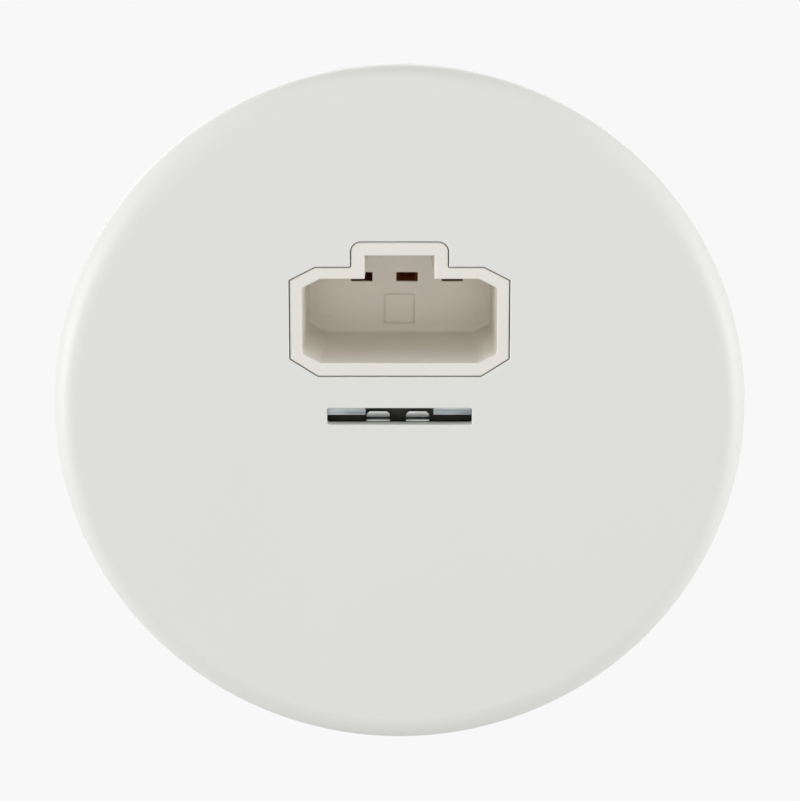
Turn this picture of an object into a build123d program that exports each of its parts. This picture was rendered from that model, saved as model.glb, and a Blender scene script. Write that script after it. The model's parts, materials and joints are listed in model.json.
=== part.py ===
from build123d import *
import math
import os

# Recessed ceiling connector for a plug-in light: a round snap-on cover, a keyed plug
# socket, and a steel frame that carries the load of the light at a hook slot.
# Millimetres. The ceiling plane is z = 0, the room is below it and the ceiling box above.
# "Near" means towards the hook slot and the cover's middle, "far" means towards the key.

# Cover plate
cover_diameter = 107.0
cover_height = 5.5
cover_wall = 2.0
cover_edge_radius = 4.0
collar_gap = 0.15
opening_edge = 0.2
opening_rim_wall = 1.0
opening_rim_gap = 0.3
locating_rib_wall = 1.2
locating_rib_gap = 0.35
radial_rib_count = 24
radial_rib_wall = 1.0
radial_rib_height = 1.5

# Snap arms of the cover
near_arm_angle = 50.0
far_arm_angle = 20.0
arm_radius = 31.0
arm_root_depth = 0.5
arm_wall = 1.5
arm_width = 6.0
barb_reach = 0.8
barb_height = 0.5
barb_gap = 0.1
arm_height = 2.2
arm_window_gap = 0.3

# Plug cavity and the collar round it
cavity_width = 29.8
cavity_height = 13.05
cavity_near = 8.4
cavity_depth = 21.2
cavity_draft = 0.8
key_width = 10.65
key_height = 3.6
cavity_corner_x = 2.8
cavity_corner_y = 1.45
cavity_corner_radius = 0.8
floor_radius = 0.6
socket_wall = 2.05
side_wall = 1.8
shoulder_wall = 1.75
collar_near_corner_x = 4.2
collar_near_corner_y = 2.7
collar_far_corner_x = 3.9
collar_far_corner_y = 2.0
collar_key_radius = 1.5
collar_near_radius = 1.0
collar_far_radius = 2.0
collar_inner_radius = 0.7
collar_recess = 0.15
mouth_edge = 0.25
floor_wall = 2.0
floor_step = 0.8
floor_mark_distance = 12.65
floor_mark_size = 5.0
floor_mark_line = 0.3
floor_mark_depth = 0.3
ejector_mark_distance = 12.65
ejector_mark_diameter = 2.8
ejector_mark_spacing = 22.8
ejector_mark_depth = 0.15

# Poles
pole_pitch = 7.24
pole_offset = 1.2
pole_distance = 17.82
contact_slot_width = 3.43
contact_slot_height = 1.65
contact_slot_skin = 0.6
contact_pocket_width = 4.0
contact_pocket_height = 3.4

# Socket flange and screw columns
flange_wall = 2.0
flange_side = 2.2
flange_radius = 3.0
column_distance = 21.6
column_radius = 3.4
ear_radius = 3.9
web_wall = 3.0
post_diameter = 2.4
post_from_near = 3.6

# Terminal housing
housing_depth = 15.8
housing_back_wall = 3.0
housing_radius = 2.5
housing_ear_wall = 3.0
housing_edge = 0.8
chamber_width = 5.7
chamber_wall = 1.6
core_wall = 1.6
entry_mouth = 3.8
entry_mouth_depth = 1.4
entry_bore = 2.6
entry_inset = 2.0
strap_notch_gap = 0.3

# Contacts and clamp springs
contact_sheet = 0.5
contact_width = 4.6
contact_leaf_width = 3.0
contact_end_height = 5.3
contact_gap = 0.1
leaf_gap = 0.2
leaf_pinch = 0.9
leaf_flare = 2.1
leaf_root = 1.8
clamp_sheet = 0.35
clamp_width = 4.0
clamp_base = 4.4
clamp_rise = 2.3
clamp_reach = 11.6
clamp_droop = 1.0

# Release buttons
button_width = 2.6
button_length = 3.0
button_gap = 0.12
button_rise = 1.8
button_foot_wall = 0.5
button_foot_width = 4.4
button_foot_length = 6.0
button_slot_wall = 0.8
button_slot_depth = 0.6
button_edge = 0.3

# Steel mounting frame
frame_diameter = 92.0
frame_sheet = 1.2
frame_rim_height = 1.4
frame_bend_radius = 0.8
panel_diameter = 70.8
panel_step = 0.5
panel_step_run = 0.9
frame_socket_gap = 0.25
box_screw_spacing = 60.0
box_slot_length = 8.0
box_slot_width = 4.2
bead_radius = 39.0
bead_width = 3.0
bead_height = 0.7
bead_arc = 46.0

# Hook slot and the raised steel bridge behind it
hook_slot_length = 22.3
hook_slot_height = 2.6
hook_slot_radius = 0.3
bridge_length = 29.2
bridge_near_side = 5.9
bridge_far_side = 4.7
bridge_radius = 2.0
bridge_draft = 12.0
bridge_gap = 0.2
lip_edge = 0.25
steel_slot_length = 23.2
steel_slot_far = 3.9
notch_width = 10.5
notch_depth = 2.0

# Hook latch, its pin and its spring
latch_sheet = 0.6
latch_bend_radius = 0.35
latch_cheek_wall = 0.8
latch_width = 14.6
latch_cheek_radius = 2.0
latch_seat_gap = 0.35
latch_web_near = 8.6
latch_web_far = 4.0
tongue_width = 3.6
tongue_spacing = 6.1
tongue_offset = 0.25
tongue_front = 2.0
tongue_bend = 2.9
tongue_shoulder = 1.27
tongue_tip = 0.15
tongue_tip_step = 0.75
tongue_corner = 0.45
tongue_root = 1.2
pin_diameter = 2.0
pin_distance = 8.2
pin_height = 3.2
pin_head_diameter = 3.4
pin_head_wall = 0.7
rivet_slope = 30.0
pin_fixed_gap = 0.03
pin_running_gap = 0.05
pin_side_gap = 0.1
lug_wall = 1.2
lug_gap = 0.4
lug_width = 4.4
lug_window_length = 4.6
spring_wire = 0.5
spring_turns = 4
spring_pitch = 0.62
spring_bore_gap = 0.25
spring_leg_reach = 3.3
spring_anchor_reach = 3.6
spring_anchor_slope = 0.5
spring_anchor_depth = 1.0
spring_bend_radius = 1.0
anchor_hole_width = 3.4
anchor_hole_length = 2.6
anchor_hole_shift = 0.4

# Guard that closes the space behind the hook slot
guard_length = 28.0
guard_far_side = 2.8
guard_near_side = 13.4
guard_wall = 1.1
guard_edge = 0.7
guard_hook_depth = 3.6
guard_latch_height = 6.7
guard_slope_far = 2.4
guard_slope_near = 4.6
guard_ear_x = 17.5
guard_ear_y = 9.0
guard_ear_radius = 2.3
guard_ear_wall = 1.2
guard_pin_diameter = 2.0
guard_pin_head_diameter = 3.2
guard_pin_head_height = 0.5

# Screws and the earth strap
screw_diameter = 2.9
screw_head_diameter = 5.4
screw_head_height = 1.5
screw_head_side = 0.6
screw_point = 0.7
screw_hole_gap = 0.15
screw_thread_gap = 0.05
frame_screw_length = 8.2
housing_screw_length = 9.0
earth_screw_length = 2.8
pilot_spare = 1.0
recess_width = 0.8
recess_length = 2.8
recess_depth = 0.9
strap_width = 4.0
strap_gap = 0.6
strap_foot_length = 6.9
strap_bend_radius = 1.0
earth_screw_inset = 3.0

# Places worked out from the sizes
cover_radius = cover_diameter / 2
cover_face_z = -cover_height
cover_back_z = cover_face_z + cover_wall
frame_front_z = -frame_sheet
panel_back_z = -panel_step
panel_front_z = panel_back_z - frame_sheet
bridge_face_z = cover_back_z + bridge_gap
bridge_back_z = bridge_face_z + frame_sheet
socket_front_z = cover_face_z + collar_recess
cavity_floor_z = cover_face_z + cavity_depth
socket_back_z = cavity_floor_z + floor_wall
housing_back_z = socket_back_z + housing_depth
chamber_top_z = housing_back_z - housing_back_wall
cavity_near_y = -cavity_near
cavity_shoulder_y = cavity_near_y - cavity_height
cavity_far_y = cavity_shoulder_y - key_height
collar_half = cavity_width / 2 + side_wall
collar_near_y = cavity_near_y + socket_wall
collar_shoulder_y = cavity_shoulder_y - shoulder_wall
collar_far_y = cavity_far_y - socket_wall
collar_key_half = key_width / 2 + socket_wall
socket_middle_y = (collar_near_y + collar_shoulder_y) / 2
socket_length = collar_near_y - collar_shoulder_y
pole_y = -pole_distance
pole_names = ["line", "earth", "neutral"]
pole_x = {name: pole_offset + (i - 1) * pole_pitch for i, name in enumerate(pole_names)}
chamber_near_y = collar_near_y - chamber_wall
chamber_far_y = collar_shoulder_y + chamber_wall
chamber_length = chamber_near_y - chamber_far_y
contact_top_z = chamber_top_z - contact_gap
contact_plate_z = contact_top_z - contact_end_height
slot_skin_z = cavity_floor_z + contact_slot_skin
entry_y = [chamber_near_y - entry_inset, chamber_far_y + entry_inset]
guard_ear_places = [(-guard_ear_x, guard_ear_y), (guard_ear_x, guard_ear_y)]
column_places = [(-column_distance, socket_middle_y), (column_distance, socket_middle_y)]
latch_front_z = panel_back_z + latch_seat_gap
latch_back_z = latch_front_z + latch_sheet
latch_web_z = (latch_front_z + latch_back_z) / 2
strap_inner_y = collar_far_y - strap_gap
strap_middle_y = strap_inner_y - contact_sheet / 2
strap_foot_y = strap_middle_y - strap_foot_length
earth_screw_y = strap_foot_y + earth_screw_inset
arm_angles = [
    near_arm_angle, 180 - near_arm_angle, 180 + far_arm_angle, 360 - far_arm_angle,
]


def save(piece, name):
    """Labels a finished piece and writes its file."""
    piece.part.label = name
    export_step(piece.part, f"parts/{name}.step")


def keyed_outline(half_width, near_y, shoulder_y, far_y, key_half, near_cut, far_cut):
    """The plug's outline: a rectangle with cut corners and a key on its far side."""
    near_cut_x, near_cut_y = near_cut
    far_cut_x, far_cut_y = far_cut
    with BuildSketch() as outline:
        with BuildLine():
            Polyline(
                (-half_width + near_cut_x, near_y),
                (half_width - near_cut_x, near_y),
                (half_width, near_y - near_cut_y),
                (half_width, shoulder_y + far_cut_y),
                (half_width - far_cut_x, shoulder_y),
                (key_half, shoulder_y),
                (key_half, far_y),
                (-key_half, far_y),
                (-key_half, shoulder_y),
                (-half_width + far_cut_x, shoulder_y),
                (-half_width, shoulder_y + far_cut_y),
                (-half_width, near_y - near_cut_y),
                close=True,
            )
        make_face()
    return outline.sketch


def collar_outline(grow=0.0):
    """The collar's outer outline with its rounded corners, grown by a clearance or a wall."""
    with BuildSketch() as outline:
        add(keyed_outline(
            collar_half, collar_near_y, collar_shoulder_y, collar_far_y, collar_key_half,
            (collar_near_corner_x, collar_near_corner_y),
            (collar_far_corner_x, collar_far_corner_y),
        ))
        rows = outline.vertices().group_by(Axis.Y)
        shoulder_corners = rows[1].sort_by(Axis.X)
        fillet(rows[0], collar_key_radius)
        fillet(shoulder_corners[1:3], collar_inner_radius)
        fillet([shoulder_corners[0], shoulder_corners[3], *rows[2]], collar_far_radius)
        fillet([*rows[3], *rows[4]], collar_near_radius)
        if grow > 0:
            offset(amount=grow)
    return outline.sketch


def cavity_outline(inset=0.0):
    """The plug cavity's outline at its mouth, or drawn in by the draft further down."""
    corner = (cavity_corner_x, cavity_corner_y)
    with BuildSketch() as outline:
        add(keyed_outline(
            cavity_width / 2 - inset, cavity_near_y - inset, cavity_shoulder_y + inset,
            cavity_far_y + inset, key_width / 2 - inset, corner, corner,
        ))
        rows = outline.vertices().group_by(Axis.Y)
        shoulder_corners = rows[1].sort_by(Axis.X)
        fillet(
            [shoulder_corners[0], shoulder_corners[3], *rows[2], *rows[3], *rows[4]],
            cavity_corner_radius,
        )
    return outline.sketch


def radial_plane(angle):
    """A plane through the Z axis whose first direction points outwards at the angle."""
    turn = math.radians(angle)
    outwards = (math.cos(turn), math.sin(turn), 0)
    sideways = (math.sin(turn), -math.cos(turn), 0)
    return Plane(origin=(0, 0, 0), x_dir=outwards, z_dir=sideways)


def bent_strip(points, bend_radius, sheet, width, middle_x):
    """A strip of sheet metal bent along points (y, z), wide in X about a middle."""
    with BuildPart() as strip:
        with BuildSketch(Plane.YZ.offset(middle_x)):
            with BuildLine():
                FilletPolyline(*points, radius=bend_radius)
            trace(line_width=sheet)
        extrude(amount=width / 2, both=True)
    return strip.part


def make_cover():
    """The round moulded cover, with its openings, ribs and snap arms."""
    inner_radius = cover_radius - cover_wall
    inner_edge_radius = cover_edge_radius - cover_wall
    corner_middle = (cover_radius - cover_edge_radius, cover_face_z + cover_edge_radius)
    rib_inner = frame_diameter / 2 + locating_rib_gap
    rib_outer = rib_inner + locating_rib_wall
    with BuildPart() as cover:
        with BuildSketch(Plane.XZ):
            with BuildLine():
                Line((0, cover_face_z), (corner_middle[0], cover_face_z))
                CenterArc(corner_middle, cover_edge_radius, -90, 90)
                Polyline(
                    (cover_radius, corner_middle[1]), (cover_radius, 0),
                    (inner_radius, 0), (inner_radius, corner_middle[1]),
                )
                CenterArc(corner_middle, inner_edge_radius, 0, -90)
                Polyline(
                    (corner_middle[0], cover_back_z), (0, cover_back_z), (0, cover_face_z),
                )
            make_face()
        revolve(axis=Axis.Z)
        # Rib that centres the cover on the steel frame
        with BuildSketch(Plane.XY.offset(cover_back_z)):
            Circle(rib_outer)
            Circle(rib_inner, mode=Mode.SUBTRACT)
        extrude(amount=cover_height - cover_wall - opening_rim_gap)
        # Short ribs from there to the rim
        with BuildSketch(Plane.XY.offset(cover_back_z)):
            with PolarLocations((rib_outer + inner_radius) / 2, radial_rib_count):
                Rectangle(inner_radius - rib_outer + cover_wall / 2, radial_rib_wall)
        extrude(amount=radial_rib_height)
        # Rim round the socket opening
        with BuildSketch(Plane.XY.offset(cover_back_z)):
            add(collar_outline(collar_gap + opening_rim_wall))
        extrude(amount=panel_front_z - opening_rim_gap - cover_back_z)
        # Snap arms with their barbs
        arm_outer = arm_radius + arm_wall
        arm_root_z = cover_back_z - arm_root_depth
        arm_top_z = panel_back_z + arm_height
        barb_outer = arm_outer + barb_reach
        barb_z = panel_back_z + barb_gap
        for angle in arm_angles:
            with BuildSketch(radial_plane(angle)):
                with BuildLine():
                    Polyline(
                        (arm_radius, arm_root_z),
                        (arm_radius, arm_top_z),
                        (arm_radius + arm_wall / 2, arm_top_z),
                        (barb_outer, barb_z + barb_height),
                        (barb_outer, barb_z),
                        (arm_outer, barb_z),
                        (arm_outer, arm_root_z),
                        close=True,
                    )
                make_face()
            extrude(amount=arm_width / 2, both=True)
        # Openings for the socket's collar and for the hook
        with BuildSketch(Plane.XY.offset(cover_face_z)):
            add(collar_outline(collar_gap))
            RectangleRounded(hook_slot_length, hook_slot_height, hook_slot_radius)
        extrude(amount=cover_height, mode=Mode.SUBTRACT)
        front = cover.faces().sort_by(Axis.Z)[0]
        fillet([edge for wire in front.inner_wires() for edge in wire.edges()], opening_edge)
    return cover


def make_frame():
    """The pressed steel frame: seat ring, sunk panel, beads, hook bridge, lugs and holes."""
    half = frame_sheet / 2
    rim_middle = frame_diameter / 2 - half
    rim_front_z = frame_front_z - frame_rim_height
    panel_radius = panel_diameter / 2
    panel_middle_z = panel_back_z - half
    lug_inner_x = latch_width / 2 + lug_gap
    lug_middle_x = lug_inner_x + lug_wall / 2
    with BuildPart() as frame:
        # Middle line of the sheet: panel, step, ring that seats on the ceiling, rim
        with BuildSketch(Plane.XZ):
            with BuildLine():
                FilletPolyline(
                    (0, panel_middle_z), (panel_radius, panel_middle_z),
                    (panel_radius + panel_step_run, -half),
                    (rim_middle, -half), (rim_middle, rim_front_z),
                    radius=frame_bend_radius + half,
                )
            trace(line_width=frame_sheet)
        revolve(axis=Axis.Z)
        # Stiffening beads, pressed towards the room
        for start in [90 - bead_arc / 2, 270 - bead_arc / 2]:
            add(bead(start, frame_front_z, bead_width + frame_sheet))
        for start in [90 - bead_arc / 2, 270 - bead_arc / 2]:
            add(bead(start, 0, bead_width - frame_sheet), mode=Mode.SUBTRACT)
        # Raised bridge that stands close behind the cover's hook slot
        bridge_width = bridge_near_side + bridge_far_side
        bridge_y = (bridge_near_side - bridge_far_side) / 2
        bridge_rise = bridge_face_z - panel_back_z
        with BuildSketch(Plane.XY.offset(panel_back_z)):
            with Locations((0, bridge_y)):
                RectangleRounded(bridge_length, bridge_width, bridge_radius)
        extrude(amount=bridge_rise, taper=bridge_draft)
        with BuildSketch(Plane.XY.offset(panel_back_z)):
            with Locations((0, bridge_y)):
                RectangleRounded(
                    bridge_length - 2 * frame_sheet, bridge_width - 2 * frame_sheet,
                    bridge_radius - half,
                )
        extrude(amount=bridge_rise + frame_sheet, taper=bridge_draft, mode=Mode.SUBTRACT)
        # Steel slot with the load-bearing lip, and the notch that lets the tongues through
        with BuildSketch(Plane.XY):
            with Locations((0, (lip_edge + steel_slot_far) / 2)):
                Rectangle(steel_slot_length, steel_slot_far - lip_edge)
            with Locations((0, (steel_slot_far - notch_depth) / 2)):
                Rectangle(notch_width, steel_slot_far + notch_depth)
        extrude(amount=bridge_face_z, mode=Mode.SUBTRACT)
        # Lugs for the latch pin, bent up from the sheet beside their windows
        for side in [-1, 1]:
            with BuildSketch(Plane.YZ.offset(side * lug_middle_x)):
                with Locations((pin_distance, pin_height)):
                    Circle(lug_width / 2)
                with Locations((pin_distance, (pin_height + panel_front_z) / 2)):
                    Rectangle(lug_width, pin_height - panel_front_z)
                with Locations((pin_distance, pin_height)):
                    Circle(pin_diameter / 2 + pin_fixed_gap, mode=Mode.SUBTRACT)
            extrude(amount=lug_wall / 2, both=True)
        window_x = lug_middle_x + (lug_wall + lug_window_length) / 2
        with BuildSketch(Plane.XY):
            for side in [-1, 1]:
                with Locations((side * window_x, pin_distance)):
                    Rectangle(lug_window_length, lug_width)
            # Hole for the spring's anchored leg
            with Locations((0, pin_distance + spring_anchor_reach - anchor_hole_shift)):
                Rectangle(anchor_hole_width, anchor_hole_length)
            # Holes for the guard's staked pins
            with Locations(*guard_ear_places):
                Circle(guard_pin_diameter / 2 + pin_running_gap)
            # Slots for the box screws
            for side in [-1, 1]:
                with Locations((side * box_screw_spacing / 2, 0)):
                    SlotOverall(box_slot_length, box_slot_width)
            # Holes for the socket screws and the earth screw
            with Locations(*column_places):
                Circle(screw_diameter / 2 + screw_hole_gap)
            with Locations((pole_x["earth"], earth_screw_y)):
                Circle(screw_diameter / 2 + screw_thread_gap)
            add(collar_outline(frame_socket_gap))
            # Windows for the cover's snap arms
            for angle in arm_angles:
                with Locations(Rotation(0, 0, angle)):
                    with Locations((arm_radius + arm_wall / 2, 0)):
                        Rectangle(arm_wall + 2 * arm_window_gap, arm_width + 2 * arm_window_gap)
        extrude(amount=panel_front_z, mode=Mode.SUBTRACT)
    return frame


def bead(start_angle, back_z, width):
    """A pressed bead, as a solid whose section is an arc below a level of the sheet."""
    with BuildPart() as piece:
        with BuildSketch(radial_plane(start_angle)):
            with BuildLine():
                ThreePointArc(
                    (bead_radius - width / 2, back_z),
                    (bead_radius, back_z - bead_height),
                    (bead_radius + width / 2, back_z),
                )
                Line((bead_radius - width / 2, back_z), (bead_radius + width / 2, back_z))
            make_face()
        revolve(axis=Axis.Z, revolution_arc=bead_arc)
    return piece.part


def make_socket_body():
    """The socket: collar, drafted plug cavity, floor with contact slots, flange, columns."""
    with BuildPart() as body:
        with BuildSketch(Plane.XY.offset(socket_front_z)):
            add(collar_outline())
        extrude(amount=socket_back_z - socket_front_z)
        # Flange that seats behind the steel frame's panel, and the screw columns
        with BuildSketch(Plane.XY.offset(panel_back_z)):
            with Locations((0, socket_middle_y)):
                RectangleRounded(
                    2 * (collar_half + flange_side), socket_length + 2 * flange_side,
                    flange_radius,
                )
            with Locations(*column_places):
                Circle(ear_radius)
        extrude(amount=flange_wall)
        with BuildSketch(Plane.XY.offset(panel_back_z)):
            with Locations(*column_places):
                Circle(column_radius)
            with Locations((0, socket_middle_y)):
                Rectangle(2 * column_distance, web_wall)
        extrude(amount=socket_back_z - panel_back_z)
        # Posts that press the contact plates to their seats
        with BuildSketch(Plane.XY.offset(socket_back_z)):
            for x in pole_x.values():
                with Locations((x, chamber_near_y - post_from_near)):
                    Circle(post_diameter / 2)
        extrude(amount=contact_plate_z - contact_gap - socket_back_z)
        # Plug cavity, drawn in towards its floor by the draft
        draft_inset = (cavity_floor_z - socket_front_z) * math.tan(math.radians(cavity_draft))
        with BuildSketch(Plane.XY.offset(socket_front_z)):
            add(cavity_outline())
        with BuildSketch(Plane.XY.offset(cavity_floor_z)):
            add(cavity_outline(draft_inset))
        loft(ruled=True, mode=Mode.SUBTRACT)
        floor = body.faces().filter_by(Plane.XY).filter_by_position(
            Axis.Z, cavity_floor_z, cavity_floor_z,
        )
        shoulder_floor_y = cavity_shoulder_y + draft_inset
        fillet(
            [edge for edge in floor.edges() if edge.center().Y > shoulder_floor_y + floor_radius / 2],
            floor_radius,
        )
        # Step across the far side of the floor
        step_near_y = pole_y - contact_slot_height / 2
        with BuildSketch(Plane.XY.offset(cavity_floor_z - floor_step)):
            with Locations((0, (step_near_y + cavity_shoulder_y) / 2)):
                Rectangle(cavity_width, step_near_y - cavity_shoulder_y)
            with Locations((0, (step_near_y + cavity_far_y) / 2)):
                Rectangle(key_width, step_near_y - cavity_far_y)
        extrude(amount=floor_step)
        # Bare square groove in the floor, and the moulding's ejector marks
        with BuildSketch(Plane.XY.offset(cavity_floor_z)):
            with Locations((0, -floor_mark_distance)):
                Rectangle(floor_mark_size, floor_mark_size)
                inner = floor_mark_size - 2 * floor_mark_line
                Rectangle(inner, inner, mode=Mode.SUBTRACT)
        extrude(amount=floor_mark_depth, mode=Mode.SUBTRACT)
        with BuildSketch(Plane.XY.offset(cavity_floor_z)):
            for side in [-1, 1]:
                with Locations((side * ejector_mark_spacing / 2, -ejector_mark_distance)):
                    Circle(ejector_mark_diameter / 2)
        extrude(amount=ejector_mark_depth, mode=Mode.SUBTRACT)
        # Slots for the plug's pins, with a pocket behind each for the contact's leaves
        with BuildSketch(Plane.XY.offset(cavity_floor_z)):
            for x in pole_x.values():
                with Locations((x, pole_y)):
                    Rectangle(contact_slot_width, contact_slot_height)
        extrude(amount=floor_wall, mode=Mode.SUBTRACT)
        with BuildSketch(Plane.XY.offset(slot_skin_z)):
            for x in pole_x.values():
                with Locations((x, pole_y)):
                    Rectangle(contact_pocket_width, contact_pocket_height)
        extrude(amount=floor_wall - contact_slot_skin, mode=Mode.SUBTRACT)
        # Screw holes from the front and from the back
        with BuildSketch(Plane.XY.offset(panel_back_z)):
            with Locations(*column_places):
                Circle(screw_diameter / 2 + screw_thread_gap)
        extrude(amount=frame_screw_length - frame_sheet + pilot_spare, mode=Mode.SUBTRACT)
        with BuildSketch(Plane.XY.offset(socket_back_z)):
            with Locations(*column_places):
                Circle(screw_diameter / 2 + screw_thread_gap)
        extrude(
            amount=housing_ear_wall - housing_screw_length - pilot_spare, mode=Mode.SUBTRACT,
        )
        fillet(body.edges().group_by(Axis.Z)[0], mouth_edge)
    return body


def make_terminal_housing():
    """The rear housing: three chambers, wire entries, button holes and the strap's notch."""
    with BuildPart() as housing:
        with BuildSketch(Plane.XY.offset(socket_back_z)):
            with Locations((0, socket_middle_y)):
                RectangleRounded(2 * collar_half, socket_length, housing_radius)
        extrude(amount=housing_depth)
        chamfer(housing.edges().group_by(Axis.Z)[-1], housing_edge)
        with BuildSketch(Plane.XY.offset(socket_back_z)):
            with Locations(*column_places):
                Circle(column_radius)
            with Locations((0, socket_middle_y)):
                Rectangle(2 * column_distance, 2 * column_radius)
        extrude(amount=housing_ear_wall)
        with BuildSketch(Plane.XY.offset(socket_back_z)):
            with Locations(*column_places):
                Circle(screw_diameter / 2 + screw_hole_gap)
        extrude(amount=housing_ear_wall, mode=Mode.SUBTRACT)
        # Chambers, and the pockets that keep the side walls thin
        chamber_middle_y = (chamber_near_y + chamber_far_y) / 2
        core_inner_left = pole_x["line"] - chamber_width / 2 - core_wall
        core_inner_right = pole_x["neutral"] + chamber_width / 2 + core_wall
        core_outer = collar_half - core_wall
        with BuildSketch(Plane.XY.offset(socket_back_z)):
            for x in pole_x.values():
                with Locations((x, chamber_middle_y)):
                    Rectangle(chamber_width, chamber_length)
            with Locations(((core_inner_left - core_outer) / 2, chamber_middle_y)):
                Rectangle(core_outer + core_inner_left, chamber_length)
            with Locations(((core_inner_right + core_outer) / 2, chamber_middle_y)):
                Rectangle(core_outer - core_inner_right, chamber_length)
        extrude(amount=chamber_top_z - socket_back_z, mode=Mode.SUBTRACT)
        # Wire entries: a mouth for the insulation and a bore for the bare wire
        with BuildSketch(Plane.XY.offset(housing_back_z)):
            for x in pole_x.values():
                with Locations(*[(x, y) for y in entry_y]):
                    Rectangle(entry_mouth, entry_mouth)
        extrude(amount=-entry_mouth_depth, mode=Mode.SUBTRACT)
        with BuildSketch(Plane.XY.offset(housing_back_z)):
            for x in pole_x.values():
                with Locations(*[(x, y) for y in entry_y]):
                    Rectangle(entry_bore, entry_bore)
                with Locations((x, chamber_middle_y)):
                    Rectangle(button_width + 2 * button_gap, button_length + 2 * button_gap)
        extrude(amount=-housing_back_wall, mode=Mode.SUBTRACT)
        # Notch for the earth strap, open towards the socket
        notch_top_z = contact_plate_z + strap_notch_gap
        with BuildSketch(Plane.XY.offset(socket_back_z)):
            with Locations((pole_x["earth"], chamber_far_y - chamber_wall / 2)):
                Rectangle(strap_width + 2 * strap_notch_gap, 2 * chamber_wall)
        extrude(amount=notch_top_z - socket_back_z, mode=Mode.SUBTRACT)
    return housing


def make_contact(x):
    """A pole's contact: plate with turned-up ends and two sprung leaves for the plug's pin."""
    half = contact_sheet / 2
    plate_z = contact_plate_z + half
    near_y = chamber_near_y - contact_gap - half
    far_y = chamber_far_y + contact_gap + half
    leaf_tip_z = slot_skin_z + leaf_gap
    pinch_z = (contact_plate_z + leaf_tip_z) / 2
    bend = contact_sheet
    with BuildPart() as contact:
        add(bent_strip(
            [(near_y, contact_top_z), (near_y, plate_z), (far_y, plate_z), (far_y, contact_top_z)],
            bend, contact_sheet, contact_width, x,
        ))
        for side in [-1, 1]:
            add(bent_strip(
                [
                    (pole_y + side * leaf_root / 2, plate_z),
                    (pole_y + side * leaf_pinch / 2, pinch_z),
                    (pole_y + side * leaf_flare / 2, leaf_tip_z),
                ],
                bend, contact_sheet, contact_leaf_width, x,
            ))
    return contact


def make_clamp(x):
    """A pole's clamp spring: one strip with two wings, one for each wire."""
    middle_y = (chamber_near_y + chamber_far_y) / 2
    base_z = contact_plate_z + contact_sheet + clamp_sheet / 2
    top_z = base_z + clamp_rise
    shoulder = clamp_base / 2 + clamp_sheet
    with BuildPart() as clamp:
        add(bent_strip(
            [
                (middle_y - clamp_reach / 2, top_z - clamp_droop),
                (middle_y - shoulder, top_z),
                (middle_y - clamp_base / 2, base_z),
                (middle_y + clamp_base / 2, base_z),
                (middle_y + shoulder, top_z),
                (middle_y + clamp_reach / 2, top_z - clamp_droop),
            ],
            clamp_sheet, clamp_sheet, clamp_width, x,
        ))
    return clamp


def make_button(x):
    """A release button: a stem through the housing's back and a captive foot inside."""
    middle_y = (chamber_near_y + chamber_far_y) / 2
    foot_top_z = chamber_top_z - contact_gap
    button_top_z = housing_back_z + button_rise
    with BuildPart() as button:
        with BuildSketch(Plane.XY.offset(foot_top_z)):
            with Locations((x, middle_y)):
                Rectangle(button_foot_width, button_foot_length)
        extrude(amount=-button_foot_wall)
        with BuildSketch(Plane.XY.offset(foot_top_z)):
            with Locations((x, middle_y)):
                Rectangle(button_width, button_length)
        extrude(amount=button_top_z - foot_top_z)
        chamfer(button.edges().group_by(Axis.Z)[-1], button_edge)
        with BuildSketch(Plane.XY.offset(button_top_z)):
            with Locations((x, middle_y)):
                Rectangle(button_width, button_slot_wall)
        extrude(amount=-button_slot_depth, mode=Mode.SUBTRACT)
    return button


def make_earth_strap():
    """The strap that ties the earth contact to the steel frame."""
    half = contact_sheet / 2
    start_y = pole_y - leaf_root / 2 - contact_sheet
    strap_z = contact_plate_z - half
    foot_z = panel_back_z + half
    with BuildPart() as strap:
        add(bent_strip(
            [
                (start_y, strap_z), (strap_middle_y, strap_z),
                (strap_middle_y, foot_z), (strap_foot_y, foot_z),
            ],
            strap_bend_radius, contact_sheet, strap_width, pole_x["earth"],
        ))
        with BuildSketch(Plane.XY.offset(panel_back_z)):
            with Locations((pole_x["earth"], earth_screw_y)):
                Circle(screw_diameter / 2 + screw_hole_gap)
        extrude(amount=contact_sheet, mode=Mode.SUBTRACT)
    return strap


def make_screw(x, y, seat_z, length, direction):
    """A pan-head screw with a cross recess, its head on a seat and its tip along Z."""
    head_top_z = seat_z - direction * screw_head_height
    tip_z = seat_z + direction * length
    shoulder_z = seat_z - direction * screw_head_side
    head_radius = screw_head_diameter / 2
    dome_rise = screw_head_height - screw_head_side
    dome_radius = (head_radius**2 + dome_rise**2) / (2 * dome_rise)
    half_angle = math.asin(head_radius / dome_radius) / 2
    dome_middle_z = head_top_z + direction * dome_radius
    with BuildPart() as screw:
        with BuildSketch(Plane(origin=(x, y, 0), x_dir=(1, 0, 0), z_dir=(0, -1, 0))):
            with BuildLine():
                Polyline(
                    (0, head_top_z), (0, tip_z), (screw_diameter / 2 - screw_point, tip_z),
                    (screw_diameter / 2, tip_z - direction * screw_point),
                    (screw_diameter / 2, seat_z), (head_radius, seat_z),
                    (head_radius, shoulder_z),
                )
                ThreePointArc(
                    (head_radius, shoulder_z),
                    (
                        dome_radius * math.sin(half_angle),
                        dome_middle_z - direction * dome_radius * math.cos(half_angle),
                    ),
                    (0, head_top_z),
                )
            make_face()
        revolve(axis=Axis((x, y, 0), (0, 0, 1)))
        with BuildSketch(Plane.XY.offset(head_top_z)):
            with Locations((x, y)):
                Rectangle(recess_length, recess_width)
                Rectangle(recess_width, recess_length)
        extrude(amount=direction * recess_depth, mode=Mode.SUBTRACT)
    return screw


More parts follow.
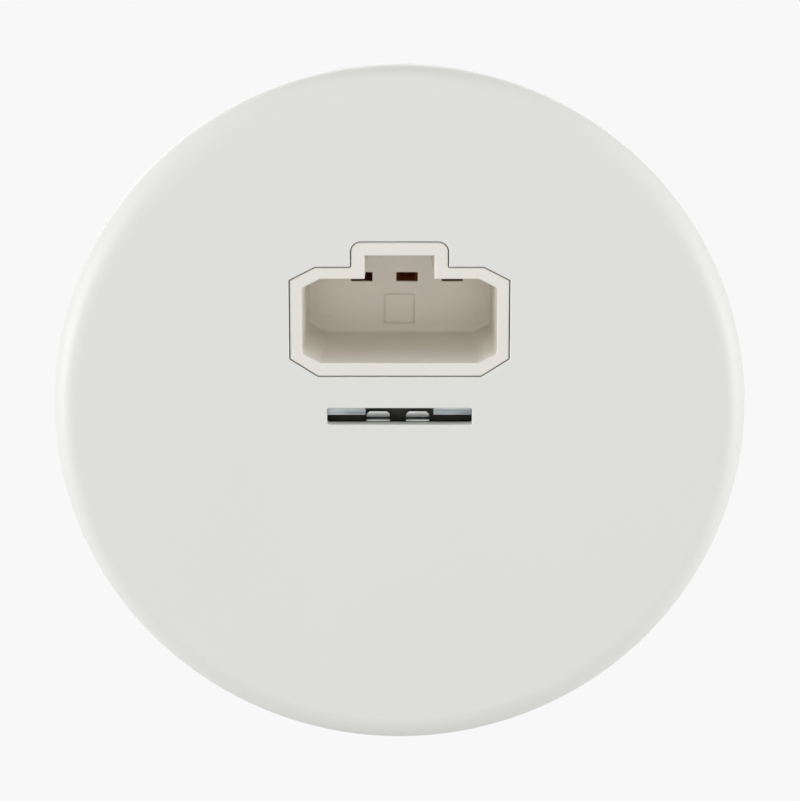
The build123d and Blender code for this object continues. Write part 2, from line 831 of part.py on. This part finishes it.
def make_latch():
    """The hook latch: web, two cheeks on the pin and two joggled tongues."""
    front_z = -tongue_front
    tip_z = front_z + tongue_tip_step
    cheek_x = latch_width / 2 - latch_cheek_wall / 2
    with BuildPart() as latch:
        with BuildSketch(Plane.XY.offset(latch_front_z)):
            with Locations((0, (latch_web_near + latch_web_far) / 2)):
                Rectangle(latch_width, latch_web_near - latch_web_far)
        extrude(amount=latch_sheet)
        for side in [-1, 1]:
            with BuildSketch(Plane.YZ.offset(side * cheek_x)):
                with BuildLine():
                    Polyline(
                        (latch_web_far, latch_front_z), (latch_web_near, latch_front_z),
                        (pin_distance + latch_cheek_radius, pin_height),
                        (pin_distance, pin_height + latch_cheek_radius),
                        (latch_web_far, latch_back_z),
                        close=True,
                    )
                make_face()
                with Locations((pin_distance, pin_height)):
                    Circle(latch_cheek_radius)
            extrude(amount=latch_cheek_wall / 2, both=True)
            add(bent_strip(
                [
                    (latch_web_far + tongue_root, latch_web_z), (latch_web_far, latch_web_z),
                    (tongue_bend, front_z), (tongue_shoulder, front_z),
                    (tongue_shoulder, tip_z), (tongue_tip, tip_z),
                ],
                latch_bend_radius, latch_sheet, tongue_width,
                side * tongue_spacing / 2 - tongue_offset,
            ))
        with BuildSketch(Plane.YZ):
            with Locations((pin_distance, pin_height)):
                Circle(pin_diameter / 2 + pin_running_gap)
        extrude(amount=latch_width, both=True, mode=Mode.SUBTRACT)
        tip_edges = latch.edges().filter_by(Axis.Z).group_by(Axis.Y)[0]
        chamfer(tip_edges, tongue_corner)
    return latch


def make_hook_guard():
    """The moulded guard behind the hook slot, staked to the frame by two pins."""
    hook_floor_z = bridge_back_z + guard_hook_depth
    latch_top_z = panel_back_z + guard_latch_height
    room = [
        (-guard_far_side, panel_back_z), (-guard_far_side, hook_floor_z),
        (guard_slope_far, hook_floor_z), (guard_slope_near, latch_top_z),
        (guard_near_side, latch_top_z), (guard_near_side, panel_back_z),
    ]
    with BuildPart() as guard:
        with BuildSketch(Plane.YZ):
            with BuildLine():
                Polyline(*room, close=True)
            make_face()
            offset(amount=guard_wall, kind=Kind.INTERSECTION)
        extrude(amount=guard_length / 2 + guard_wall, both=True)
        split(bisect_by=Plane.XY.offset(panel_back_z), keep=Keep.TOP)
        outer_edges = guard.edges() - guard.edges().group_by(Axis.Z)[0]
        fillet(outer_edges, guard_edge)
        # Ears for the pins
        with BuildSketch(Plane.XY.offset(panel_back_z)):
            with Locations(*guard_ear_places):
                Circle(guard_ear_radius)
            with Locations((0, guard_ear_y)):
                Rectangle(2 * guard_ear_x, 2 * guard_ear_radius)
        extrude(amount=guard_ear_wall)
        # Room for the hook and the latch
        with BuildSketch(Plane.YZ):
            with BuildLine():
                Polyline(*room, close=True)
            make_face()
        extrude(amount=guard_length / 2, both=True, mode=Mode.SUBTRACT)
        # Pins through the frame, with their staked heads
        with BuildSketch(Plane.XY.offset(panel_back_z)):
            with Locations(*guard_ear_places):
                Circle(guard_pin_diameter / 2)
        extrude(amount=-frame_sheet)
        with BuildSketch(Plane.XY.offset(panel_front_z)):
            with Locations(*guard_ear_places):
                Circle(guard_pin_head_diameter / 2)
        extrude(amount=-guard_pin_head_height, taper=rivet_slope)
    return guard


def make_latch_pin():
    """The latch's pin, headed on both sides of the lugs."""
    reach = latch_width / 2 + lug_gap + lug_wall + pin_side_gap
    with BuildPart() as pin:
        with BuildSketch(Plane.YZ.offset(-reach - pin_head_wall)):
            with Locations((pin_distance, pin_height)):
                Circle(pin_head_diameter / 2)
        extrude(amount=pin_head_wall)
        with BuildSketch(Plane.YZ.offset(-reach)):
            with Locations((pin_distance, pin_height)):
                Circle(pin_diameter / 2)
        extrude(amount=2 * reach)
        with BuildSketch(Plane.YZ.offset(reach)):
            with Locations((pin_distance, pin_height)):
                Circle(pin_head_diameter / 2)
        extrude(amount=pin_head_wall, taper=rivet_slope)
    return pin


def wire_along(path):
    """Spring wire swept along a path."""
    with BuildPart() as wire:
        with BuildSketch(Plane(origin=path @ 0, z_dir=path % 0)):
            Circle(spring_wire / 2)
        sweep(path=path, is_frenet=True)
    return wire.part


def make_latch_spring():
    """The coil spring on the pin: one leg on the latch, one hooked into the frame."""
    coil_radius = pin_diameter / 2 + spring_bore_gap + spring_wire / 2
    coil_length = spring_turns * spring_pitch
    coil_low_z = pin_height - coil_radius
    latch_leg_z = latch_back_z + spring_wire / 2 + pin_running_gap
    with BuildLine() as coil:
        Helix(
            spring_pitch, coil_length, coil_radius,
            center=(-coil_length / 2, pin_distance, pin_height), direction=(1, 0, 0),
        )
    pin_axis = Axis((0, pin_distance, pin_height), (1, 0, 0))
    with BuildLine(Plane.YZ.offset(-coil_length / 2)) as latch_leg:
        Line(
            (pin_distance + spring_wire / 2, coil_low_z),
            (pin_distance - spring_leg_reach, latch_leg_z),
        )
    with BuildLine(Plane.YZ.offset(coil_length / 2)) as anchor_leg:
        FilletPolyline(
            (pin_distance - spring_wire / 2, coil_low_z),
            (pin_distance + spring_anchor_reach, coil_low_z - spring_anchor_slope),
            (pin_distance + spring_anchor_reach, -spring_anchor_depth),
            radius=spring_bend_radius,
        )
    with BuildPart() as spring:
        add(wire_along(coil.line.rotate(pin_axis, 180)))
        add(wire_along(latch_leg.line))
        add(wire_along(anchor_leg.line))
    return spring


def main():
    os.makedirs("parts", exist_ok=True)
    save(make_cover(), "cover_plate")
    save(make_frame(), "mounting_frame")
    save(make_socket_body(), "socket_body")
    save(make_terminal_housing(), "terminal_housing")
    for name, x in pole_x.items():
        save(make_contact(x), f"{name}_contact")
        save(make_clamp(x), f"{name}_clamp_spring")
        save(make_button(x), f"{name}_release_button")
    save(make_earth_strap(), "earth_strap")
    strap_seat_z = panel_back_z + contact_sheet
    save(make_screw(pole_x["earth"], earth_screw_y, strap_seat_z, earth_screw_length, -1), "earth_screw")
    for side, (x, y) in zip(["left", "right"], column_places):
        save(make_screw(x, y, panel_front_z, frame_screw_length, 1), f"frame_screw_{side}")
        ear_z = socket_back_z + housing_ear_wall
        save(make_screw(x, y, ear_z, housing_screw_length, -1), f"housing_screw_{side}")
    save(make_hook_guard(), "hook_guard")
    save(make_latch(), "hook_latch")
    save(make_latch_pin(), "latch_pin")
    save(make_latch_spring(), "latch_spring")


main()
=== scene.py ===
# %% [markdown]
# # A ceiling connector for a plug-in light, seen from below
# The real object is a round white cover on a steel frame that is screwed over a ceiling box.
# A plug goes into the keyed socket, and a hook on the lamp goes through the narrow slot and
# hangs on the steel behind it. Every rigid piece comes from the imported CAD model, already in
# its place and in metres. What is left to do here is what CAD doesn't hold: the finish of
# each plastic and metal, the light and the camera.

import json
import math

import bpy
from mathutils import Matrix, Vector


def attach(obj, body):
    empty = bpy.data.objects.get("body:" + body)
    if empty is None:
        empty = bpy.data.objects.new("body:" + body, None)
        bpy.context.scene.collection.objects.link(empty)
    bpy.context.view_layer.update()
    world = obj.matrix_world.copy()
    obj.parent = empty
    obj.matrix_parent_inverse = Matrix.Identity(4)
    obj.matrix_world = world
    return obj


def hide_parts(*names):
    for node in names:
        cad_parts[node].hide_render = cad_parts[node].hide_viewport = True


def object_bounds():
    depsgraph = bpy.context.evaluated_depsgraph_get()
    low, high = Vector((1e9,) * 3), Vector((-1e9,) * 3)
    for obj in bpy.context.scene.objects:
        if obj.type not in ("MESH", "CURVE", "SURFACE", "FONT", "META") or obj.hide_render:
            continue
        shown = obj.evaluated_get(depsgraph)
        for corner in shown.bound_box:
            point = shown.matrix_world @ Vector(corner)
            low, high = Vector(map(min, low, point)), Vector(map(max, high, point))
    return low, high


MM = 0.001

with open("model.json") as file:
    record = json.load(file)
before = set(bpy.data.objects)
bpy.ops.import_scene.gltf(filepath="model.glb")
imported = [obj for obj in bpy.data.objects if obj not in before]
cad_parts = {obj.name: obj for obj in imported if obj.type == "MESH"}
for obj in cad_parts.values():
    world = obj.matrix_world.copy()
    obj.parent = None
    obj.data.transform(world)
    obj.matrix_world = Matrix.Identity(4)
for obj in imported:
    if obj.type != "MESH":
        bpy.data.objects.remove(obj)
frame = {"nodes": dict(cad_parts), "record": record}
cad_low, cad_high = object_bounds()
nodes = frame["nodes"]
print("pieces in the frame:", len(nodes))
print("box in mm:", [round(v / MM, 1) for v in (*cad_low, *cad_high)])

# %% [markdown]
# ## Two helpers
# A material in Blender is a graph of nodes. Adding a node, setting it and linking it are
# always the same three moves, so one small function does them. Colours are written as people
# pick them on a screen, in sRGB hex. Blender counts light, not screen values, so each colour
# goes through the curve that turns screen values into light.

# %% Helpers for nodes and colours


def linear(hex_colour):
    """Turns an sRGB hex colour into the linear RGBA that a socket takes."""
    values = [int(hex_colour[i:i + 2], 16) / 255 for i in (1, 3, 5)]
    light = [v / 12.92 if v <= 0.04045 else ((v + 0.055) / 1.055) ** 2.4 for v in values]
    return (*light, 1.0)


def add_node(tree, kind, settings=None, sockets=None):
    """Adds a node, sets its properties, and fills or links its input sockets."""
    node = tree.nodes.new(kind)
    for name, value in (settings or {}).items():
        setattr(node, name, value)
    for name, value in (sockets or {}).items():
        if isinstance(value, bpy.types.NodeSocket):
            tree.links.new(value, node.inputs[name])
        else:
            node.inputs[name].default_value = value
    return node


print("mid grey is", round(linear("#808080")[0], 3), "of full light")

# %% [markdown]
# ## The camera
# The photographer stood almost under the cover and a little to the side of its key, so the
# round rim is a slightly squashed oval. The tilt and the distance were measured from that
# oval and from the hook slot, which lies on the cover's centre. A long lens from 0.4 m keeps
# the rim nearly even. The cover's centre is 16 pixels below the middle of the picture, so the
# lens is shifted by that much, instead of turning the camera and changing the perspective.

# %% Camera
PICTURE_WIDTH, PICTURE_HEIGHT = 800, 801
SENSOR_WIDTH = 36
TILT = math.radians(14.08)
DISTANCE = 400 * MM
PIXELS_PER_MM = 6.507
CENTRE_PIXEL = (399.5, 416.6)

face_z = cad_low.z
look_at = Vector((0, 0, face_z))
towards_camera = Vector((0, -math.sin(TILT), -math.cos(TILT)))
camera_data = bpy.data.cameras.new("photo_camera")
camera_data.sensor_width = SENSOR_WIDTH
camera_data.lens = SENSOR_WIDTH * PIXELS_PER_MM * (DISTANCE / MM) / PICTURE_HEIGHT
camera_data.shift_x = (PICTURE_WIDTH / 2 - CENTRE_PIXEL[0]) / PICTURE_HEIGHT
camera_data.shift_y = (CENTRE_PIXEL[1] - PICTURE_HEIGHT / 2) / PICTURE_HEIGHT
camera_data.clip_start, camera_data.clip_end = 0.01, 20
camera = bpy.data.objects.new("photo_camera", camera_data)
camera.location = look_at + towards_camera * DISTANCE
right = Vector((1, 0, 0))
upwards = towards_camera.cross(right)
camera.rotation_euler = Matrix((right, upwards, towards_camera)).transposed().to_euler()
bpy.context.scene.collection.objects.link(camera)
bpy.context.scene.camera = camera
bpy.context.scene.view_settings.view_transform = "Standard"
print("lens", round(camera_data.lens, 1), "mm; picture up is", [round(v, 2) for v in upwards])

# %% [markdown]
# ## The background
# The photograph has a plain pale background, a little under white. It is the colour of the
# world as the camera sees it, and also what the plating mirrors. The light that the world
# gives to everything else is softer than that, because a studio's walls are darker than its
# backdrop. Light Path tells the two apart.

# %% World
BACKGROUND = linear("#F8F8F8")
ROOM_LIGHT = 0.535

world = bpy.data.worlds.new("pale_studio")
world.use_nodes = True
world.node_tree.nodes.clear()
rays = add_node(world.node_tree, "ShaderNodeLightPath")
camera_or_gloss = add_node(
    world.node_tree, "ShaderNodeMath", {"operation": "MAXIMUM"},
    {0: rays.outputs["Is Camera Ray"], 1: rays.outputs["Is Glossy Ray"]},
)
seen = add_node(
    world.node_tree, "ShaderNodeMath", {"operation": "MAXIMUM"},
    {0: camera_or_gloss.outputs[0], 1: rays.outputs["Is Transmission Ray"]},
)
light_given = add_node(
    world.node_tree, "ShaderNodeBackground", None,
    {"Color": linear("#FFFFFF"), "Strength": ROOM_LIGHT},
)
colour_seen = add_node(
    world.node_tree, "ShaderNodeBackground", None, {"Color": BACKGROUND, "Strength": 1.0},
)
either = add_node(
    world.node_tree, "ShaderNodeMixShader", None,
    {0: seen.outputs[0], 1: light_given.outputs[0], 2: colour_seen.outputs[0]},
)
add_node(world.node_tree, "ShaderNodeOutputWorld", None, {"Surface": either.outputs[0]})
bpy.context.scene.world = world
print("world light", ROOM_LIGHT, "of full white")

# %% [markdown]
# ## The floor
# The connector rests face down on a pale table for the views from above. The photograph
# looks at it from below, where a table would hide it. So the table is a sheet that shows
# only its upper side: from above it is matt and takes the object's shadow, and all other
# light goes through it, as if the object lay on glass. Away from the object the matt paint
# fades into the background's own colour, so that no edge shows where the table ends.

# %% Table
TABLE_SIZE = 6.0
TABLE_GAP = 0.02
FADE_FROM, FADE_TO = 0.09, 0.40

bpy.ops.object.select_all(action="DESELECT")
bpy.ops.mesh.primitive_plane_add(size=TABLE_SIZE, location=(0, 0, face_z - TABLE_GAP * MM))
pale_table = bpy.context.active_object
pale_table.name = "pale_table"
print("table at", round(pale_table.location.z / MM, 2), "mm")

# %% [markdown]
# The paint has two questions to answer. Does the camera look at the upper side? If not, the
# sheet is clear. And how far from the object is this spot? The colour of a far one is plain
# background, and a near one is matt paint, with a smooth step between the two.

# %% Table paint
table_paint = bpy.data.materials.new("table_matt_paint")
table_paint.use_nodes = True
paint_tree = table_paint.node_tree
paint_tree.nodes.clear()
rays = add_node(paint_tree, "ShaderNodeLightPath")
side = add_node(paint_tree, "ShaderNodeNewGeometry")
upper = add_node(
    paint_tree, "ShaderNodeMath", {"operation": "SUBTRACT", "use_clamp": True},
    {0: rays.outputs["Is Camera Ray"], 1: side.outputs["Backfacing"]},
)
matt = add_node(paint_tree, "ShaderNodeBsdfDiffuse", None, {"Color": BACKGROUND})
plain = add_node(
    paint_tree, "ShaderNodeEmission", None, {"Color": BACKGROUND, "Strength": 1.0},
)
on_table = add_node(paint_tree, "ShaderNodeTexCoord")
away = add_node(
    paint_tree, "ShaderNodeVectorMath", {"operation": "LENGTH"},
    {0: on_table.outputs["Object"]},
)
fade = add_node(
    paint_tree, "ShaderNodeMapRange", {"interpolation_type": "SMOOTHSTEP"},
    {"Value": away.outputs["Value"], "From Min": FADE_FROM, "From Max": FADE_TO},
)
faded = add_node(
    paint_tree, "ShaderNodeMixShader", None,
    {0: fade.outputs[0], 1: matt.outputs[0], 2: plain.outputs[0]},
)
clear = add_node(paint_tree, "ShaderNodeBsdfTransparent")
sheet = add_node(
    paint_tree, "ShaderNodeMixShader", None,
    {0: upper.outputs[0], 1: clear.outputs[0], 2: faded.outputs[0]},
)
add_node(paint_tree, "ShaderNodeOutputMaterial", None, {"Surface": sheet.outputs[0]})
pale_table.data.materials.append(table_paint)
print("table paint fades from", FADE_FROM, "to", FADE_TO, "m")

# %% [markdown]
# ## Light
# In the photograph the flat face is even, its rim is brighter left and right, and darker at
# the top and bottom. That is two soft boxes, one on each side, which graze the face and
# strike the rounded rim. The socket's floor fades towards the hook slot, while the wall on
# that side grows lighter towards its mouth: a weak box straight in front lights the floor,
# and a low one on the key's side reaches only the mouth of that wall. Each lamp was rendered
# alone, and the powers are the mix whose tones came nearest to the photograph's. One more
# box hangs above the table, for the views that show the housing. The camera sees none.

# %% Soft boxes


def soft_box(name, place, size, watts):
    """A square soft lamp at a place in metres, turned to the middle of the object."""
    lamp = bpy.data.lights.new(name, "AREA")
    lamp.shape = "SQUARE"
    lamp.size = size
    lamp.energy = watts
    box = bpy.data.objects.new(name, lamp)
    box.location = place
    box.rotation_euler = (look_at - Vector(place)).to_track_quat("-Z", "Y").to_euler()
    box.visible_camera = False
    bpy.context.scene.collection.objects.link(box)


soft_box("left_box", place=(-0.70, 0.0, -0.20), size=0.36, watts=2.5)
soft_box("right_box", place=(0.70, 0.0, -0.20), size=0.36, watts=2.2)
soft_box("front_box", place=(0.0, 0.0, -0.80), size=0.45, watts=0.6)
soft_box("key_side_box", place=(0.0, -0.70, -0.22), size=0.36, watts=0.7)
soft_box("upper_box", place=(-0.15, -0.20, 0.95), size=0.80, watts=3.0)

# %% [markdown]
# ## Moulded plastics
# All the plastics are one recipe with other numbers: a colour that wanders by a few values
# over a few centimetres, because no moulding is quite even, and a grain that lifts the
# surface by a few thousandths of a millimetre and breaks up the gloss. A mould's real grain
# is about 0.05 mm, too fine to show here, so it is drawn several times as coarse. Deep in
# the socket's cavity its colour is painted warmer with the depth: a painted warm shade that
# stands for the yellower light down in the recess, not a colour of the plastic.

# %% Recipe for a moulded plastic
PLASTIC_IOR = 1.52
MATTING_SPREAD = 0.06
# the painted warm shade grows from the first height, near the cavity's mouth, to the second,
# in mm
SHADE_WARMS_FROM_Z, SHADE_WARMS_TO_Z = -4.5, 6.0

# A colour Mix node has its two colours at inputs 6 and 7, and the mixed one at output 2
FIRST_COLOUR, SECOND_COLOUR, MIXED_COLOUR = 6, 7, 2


def paint_warm_shade_with_depth(tree, where, skin, deep):
    """Paints a warmer shade into a skin colour, from the cavity's mouth to its floor."""
    place = add_node(tree, "ShaderNodeSeparateXYZ", None, {"Vector": where.outputs["Object"]})
    depth = add_node(
        tree, "ShaderNodeMapRange", {"interpolation_type": "SMOOTHSTEP"},
        {
            "Value": place.outputs["Z"], "From Min": SHADE_WARMS_FROM_Z * MM,
            "From Max": SHADE_WARMS_TO_Z * MM,
        },
    )
    painted_warm_shade = add_node(
        tree, "ShaderNodeMix", {"data_type": "RGBA"},
        {"Factor": depth.outputs[0], FIRST_COLOUR: skin, SECOND_COLOUR: linear(deep)},
    )
    return painted_warm_shade.outputs[MIXED_COLOUR]


def moulded_plastic(name, colour, shade, gloss, grain, grain_depth, drift=35.0, deep=None):
    """Two close colours that drift, roughness, and a grain; lengths are in mm."""
    plastic = bpy.data.materials.new(name)
    plastic.use_nodes = True
    tree = plastic.node_tree
    tree.nodes.clear()
    where = add_node(tree, "ShaderNodeTexCoord")
    clouds = add_node(
        tree, "ShaderNodeTexNoise", None,
        {"Vector": where.outputs["Object"], "Scale": 1 / (drift * MM), "Detail": 2.0},
    )
    tint = add_node(
        tree, "ShaderNodeMix", {"data_type": "RGBA"},
        {
            "Factor": clouds.outputs["Fac"], FIRST_COLOUR: linear(colour),
            SECOND_COLOUR: linear(shade),
        },
    )
    skin = tint.outputs[MIXED_COLOUR]
    # a painted warm shade that grows with the depth of the cavity
    if deep:
        skin = paint_warm_shade_with_depth(tree, where, skin, deep)
    grit = add_node(
        tree, "ShaderNodeTexNoise", None,
        {"Vector": where.outputs["Object"], "Scale": 1 / (grain * MM), "Detail": 3.0},
    )
    matting = add_node(
        tree, "ShaderNodeMapRange", None,
        {
            "Value": grit.outputs["Fac"], "To Min": gloss - MATTING_SPREAD,
            "To Max": gloss + MATTING_SPREAD,
        },
    )
    relief = add_node(
        tree, "ShaderNodeBump", None,
        {"Height": grit.outputs["Fac"], "Strength": 1.0, "Distance": grain_depth * MM},
    )
    surface = add_node(
        tree, "ShaderNodeBsdfPrincipled", None,
        {
            "Base Color": skin, "Roughness": matting.outputs[0],
            "Normal": relief.outputs[0], "IOR": PLASTIC_IOR,
        },
    )
    add_node(tree, "ShaderNodeOutputMaterial", None, {"Surface": surface.outputs[0]})
    return plastic


print("the plastic warms over", SHADE_WARMS_TO_Z - SHADE_WARMS_FROM_Z, "mm of depth")

# %% [markdown]
# The cover is injection-moulded ABS from a spark-eroded mould, whose fine even grain makes
# it satin: the highlight is broad and soft, and no reflection is sharp. The socket takes the
# heat of the contacts, so it is polycarbonate, smoother and a little warmer. The housing and
# the guard behind the hook slot are nylon. The housing is natural; the guard is painted dark,
# a painted shade for the unlit hollow behind the slot. The release buttons are orange PBT,
# small and glossier, so that an electrician finds them.

# %% The five plastics
plastics = {
    "cover_plastic": moulded_plastic(
        "cover_moulded_abs", "#E9EAE5", "#E6E7E2", gloss=0.48, grain=0.45, grain_depth=0.004,
    ),
    # the socket's deep colour is a painted warm shade inside its cavity, not the plastic's own
    "socket_plastic": moulded_plastic(
        "socket_moulded_polycarbonate", "#EDEAE3", "#EAE7DF", gloss=0.36, grain=0.60,
        grain_depth=0.003, deep="#F1EBE1",
    ),
    "housing_plastic": moulded_plastic(
        "housing_moulded_nylon", "#E4E2DB", "#DEDCD4", gloss=0.42, grain=0.50,
        grain_depth=0.005,
    ),
    # the guard's dark grey is painted shade for the unlit hollow behind the hook slot
    "guard_plastic": moulded_plastic(
        "guard_nylon_painted_shade_dark", "#6C6B62", "#615F57", gloss=0.50, grain=0.55,
        grain_depth=0.006,
    ),
    "button_plastic": moulded_plastic(
        "button_moulded_orange_pbt", "#E0702A", "#D86824", gloss=0.34, grain=0.40,
        grain_depth=0.003, drift=12.0,
    ),
}
print("plastics:", ", ".join(plastics))

# %% [markdown]
# ## Metals
# A metal has no colour of its own under the gloss, so one recipe mixes two close tints and
# two roughnesses. Clouds of a few millimetres are the patches from a plating bath or from
# handling. A noise stretched along the sheet gives the lines that rolling or drawing leaves:
# it lifts the surface a little, and streaks the tint and the gloss. The real lines are a few
# hundredths of a millimetre wide, and they are drawn coarser so that they show.

# %% Recipe for a sheet metal
STREAK_CONTRAST = 1.6
LINE_SQUEEZE = 0.04


def sheet_metal(name, bright, dull, gloss, spread, line_width, line_depth, cloud=6.0):
    """Two close tints, roughness and its spread, and rolling lines; lengths are in mm."""
    metal = bpy.data.materials.new(name)
    metal.use_nodes = True
    tree = metal.node_tree
    tree.nodes.clear()
    where = add_node(tree, "ShaderNodeTexCoord")
    clouds = add_node(
        tree, "ShaderNodeTexNoise", None,
        {"Vector": where.outputs["Object"], "Scale": 1 / (cloud * MM), "Detail": 4.0},
    )
    along = add_node(
        tree, "ShaderNodeMapping", None,
        {"Vector": where.outputs["Object"], "Scale": (LINE_SQUEEZE, 1.0, 1.0)},
    )
    lines = add_node(
        tree, "ShaderNodeTexNoise", None,
        {"Vector": along.outputs[0], "Scale": 1 / (line_width * MM), "Detail": 2.0},
    )
    streaks = add_node(
        tree, "ShaderNodeMath", {"operation": "MULTIPLY_ADD"},
        {0: lines.outputs["Fac"], 1: STREAK_CONTRAST, 2: -STREAK_CONTRAST / 2},
    )
    patches = add_node(
        tree, "ShaderNodeMath", {"operation": "ADD", "use_clamp": True},
        {0: clouds.outputs["Fac"], 1: streaks.outputs[0]},
    )
    tint = add_node(
        tree, "ShaderNodeMix", {"data_type": "RGBA"},
        {
            "Factor": patches.outputs[0], FIRST_COLOUR: linear(bright),
            SECOND_COLOUR: linear(dull),
        },
    )
    polish = add_node(
        tree, "ShaderNodeMapRange", None,
        {"Value": patches.outputs[0], "To Min": gloss - spread, "To Max": gloss + spread},
    )
    relief = add_node(
        tree, "ShaderNodeBump", None,
        {"Height": lines.outputs["Fac"], "Strength": 1.0, "Distance": line_depth * MM},
    )
    surface = add_node(
        tree, "ShaderNodeBsdfPrincipled", None,
        {
            "Base Color": tint.outputs[MIXED_COLOUR], "Metallic": 1.0,
            "Roughness": polish.outputs[0], "Normal": relief.outputs[0],
        },
    )
    add_node(tree, "ShaderNodeOutputMaterial", None, {"Surface": surface.outputs[0]})
    return metal


print("rolling lines are", round(1 / LINE_SQUEEZE), "times as long as wide")

# %% [markdown]
# The frame is steel sheet, plated with zinc and passivated clear: bright, a little blue, and
# cloudy from the bath. The latch is polished stainless spring steel, the brightest thing in
# the slot. The pin is turned steel, and the small springs are drawn stainless, which is
# duller than sheet. The screws are zinc plated too, and glossier, because a formed head has
# hardly any lines. The contacts and the earth strap are bare bronze strip, coppery and soft.

# %% The six metals
metals = {
    "zinc_plated_steel": sheet_metal(
        "frame_bright_zinc", "#A8AFB1", "#6C7275", gloss=0.40, spread=0.14, line_width=0.35,
        line_depth=0.010,
    ),
    "latch_steel": sheet_metal(
        "latch_polished_spring_steel", "#C2C4C3", "#AAACAB", gloss=0.24, spread=0.06,
        line_width=0.20, line_depth=0.0015,
    ),
    "pin_steel": sheet_metal(
        "pin_bright_steel", "#C8CACB", "#B9BBBD", gloss=0.24, spread=0.06, line_width=0.30,
        line_depth=0.002,
    ),
    "spring_steel": sheet_metal(
        "spring_drawn_stainless", "#9C9EA0", "#888A8C", gloss=0.44, spread=0.06,
        line_width=0.15, line_depth=0.001,
    ),
    "screw_steel": sheet_metal(
        "screw_bright_zinc", "#C0C7CC", "#AAB1B8", gloss=0.28, spread=0.08, line_width=0.30,
        line_depth=0.002,
    ),
    "contact_bronze": sheet_metal(
        "contact_bare_bronze", "#DDA070", "#C88A5A", gloss=0.46, spread=0.10,
        line_width=0.20, line_depth=0.0015,
    ),
}
print("metals:", ", ".join(metals))

# %% [markdown]
# ## Each piece gets its finish
# The record names a material slot for every piece of the model. A piece keeps its CAD mesh,
# and only its material changes.

# %% Finish of every CAD piece
finishes = {**plastics, **metals}
slots = {entry["node"]: entry["material_slot"] for entry in frame["record"]["subparts"]}
for node_name, slot in slots.items():
    nodes[node_name].data.materials.clear()
    nodes[node_name].data.materials.append(finishes[slot])
print("finished pieces:", len(slots))

# %% [markdown]
# ## Eased edges on the steel
# A press leaves no perfectly sharp edge: where the punch goes in, the sheet is rounded by
# about a tenth of a millimetre, and that thin round is what glints along the frame's cut-outs
# and the latch's tongues. A shader's bevel node could fake it, but an exported model would
# lose it. So a copy of the CAD mesh gets a real bevel. The CAD mesh is loose triangles, so
# the copy is merged first, and flat triangles are dissolved, or the bevel would cut them too.
# Smooth shading would bend the light on a large flat face towards its tiny bevel. A Weighted
# Normal modifier lets the large face decide, so the flat stays flat.

# %% A helper that eases edges
SHARP_ANGLE = math.radians(35.0)
FLAT_ANGLE = math.radians(0.2)
MERGE_DISTANCE = 0.001


def eased_copy(node_name, piece_name, width):
    """A merged copy of a CAD node whose sharp edges have a small round, in mm."""
    piece = nodes[node_name].copy()
    piece.data = nodes[node_name].data.copy()
    piece.name = piece.data.name = piece_name
    bpy.context.scene.collection.objects.link(piece)
    bpy.ops.object.select_all(action="DESELECT")
    piece.select_set(True)
    bpy.context.view_layer.objects.active = piece
    bpy.ops.object.mode_set(mode="EDIT")
    bpy.ops.mesh.select_all(action="SELECT")
    bpy.ops.mesh.remove_doubles(threshold=MERGE_DISTANCE * MM)
    bpy.ops.mesh.dissolve_limited(angle_limit=FLAT_ANGLE)
    bpy.ops.object.mode_set(mode="OBJECT")
    bevel = piece.modifiers.new("eased edges", "BEVEL")
    bevel.width = width * MM
    bevel.segments = 2
    bevel.limit_method = "ANGLE"
    bevel.angle_limit = SHARP_ANGLE
    bpy.ops.object.modifier_apply(modifier=bevel.name)
    bpy.ops.object.shade_smooth_by_angle(angle=SHARP_ANGLE)
    flat_first = piece.modifiers.new("flat faces stay flat", "WEIGHTED_NORMAL")
    flat_first.keep_sharp = True
    bpy.ops.object.modifier_apply(modifier=flat_first.name)
    return piece


print("edges sharper than", round(math.degrees(SHARP_ANGLE)), "degrees are eased")

# %% [markdown]
# The two pieces of steel that show in the hook slot are eased. Each copy stands for its CAD
# piece: it rides on the same body, hides that piece, and keeps its material slot.

# %% Latch and frame with eased edges
for node_name, piece_name, body, width in (
    ("hook_latch", "hook_latch_eased", "latch", 0.08),
    ("mounting_frame", "mounting_frame_eased", "base", 0.10),
):
    piece = eased_copy(node_name, piece_name, width)
    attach(piece, body)
    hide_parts(node_name)
    print(piece.name, "has", len(piece.data.polygons), "faces")
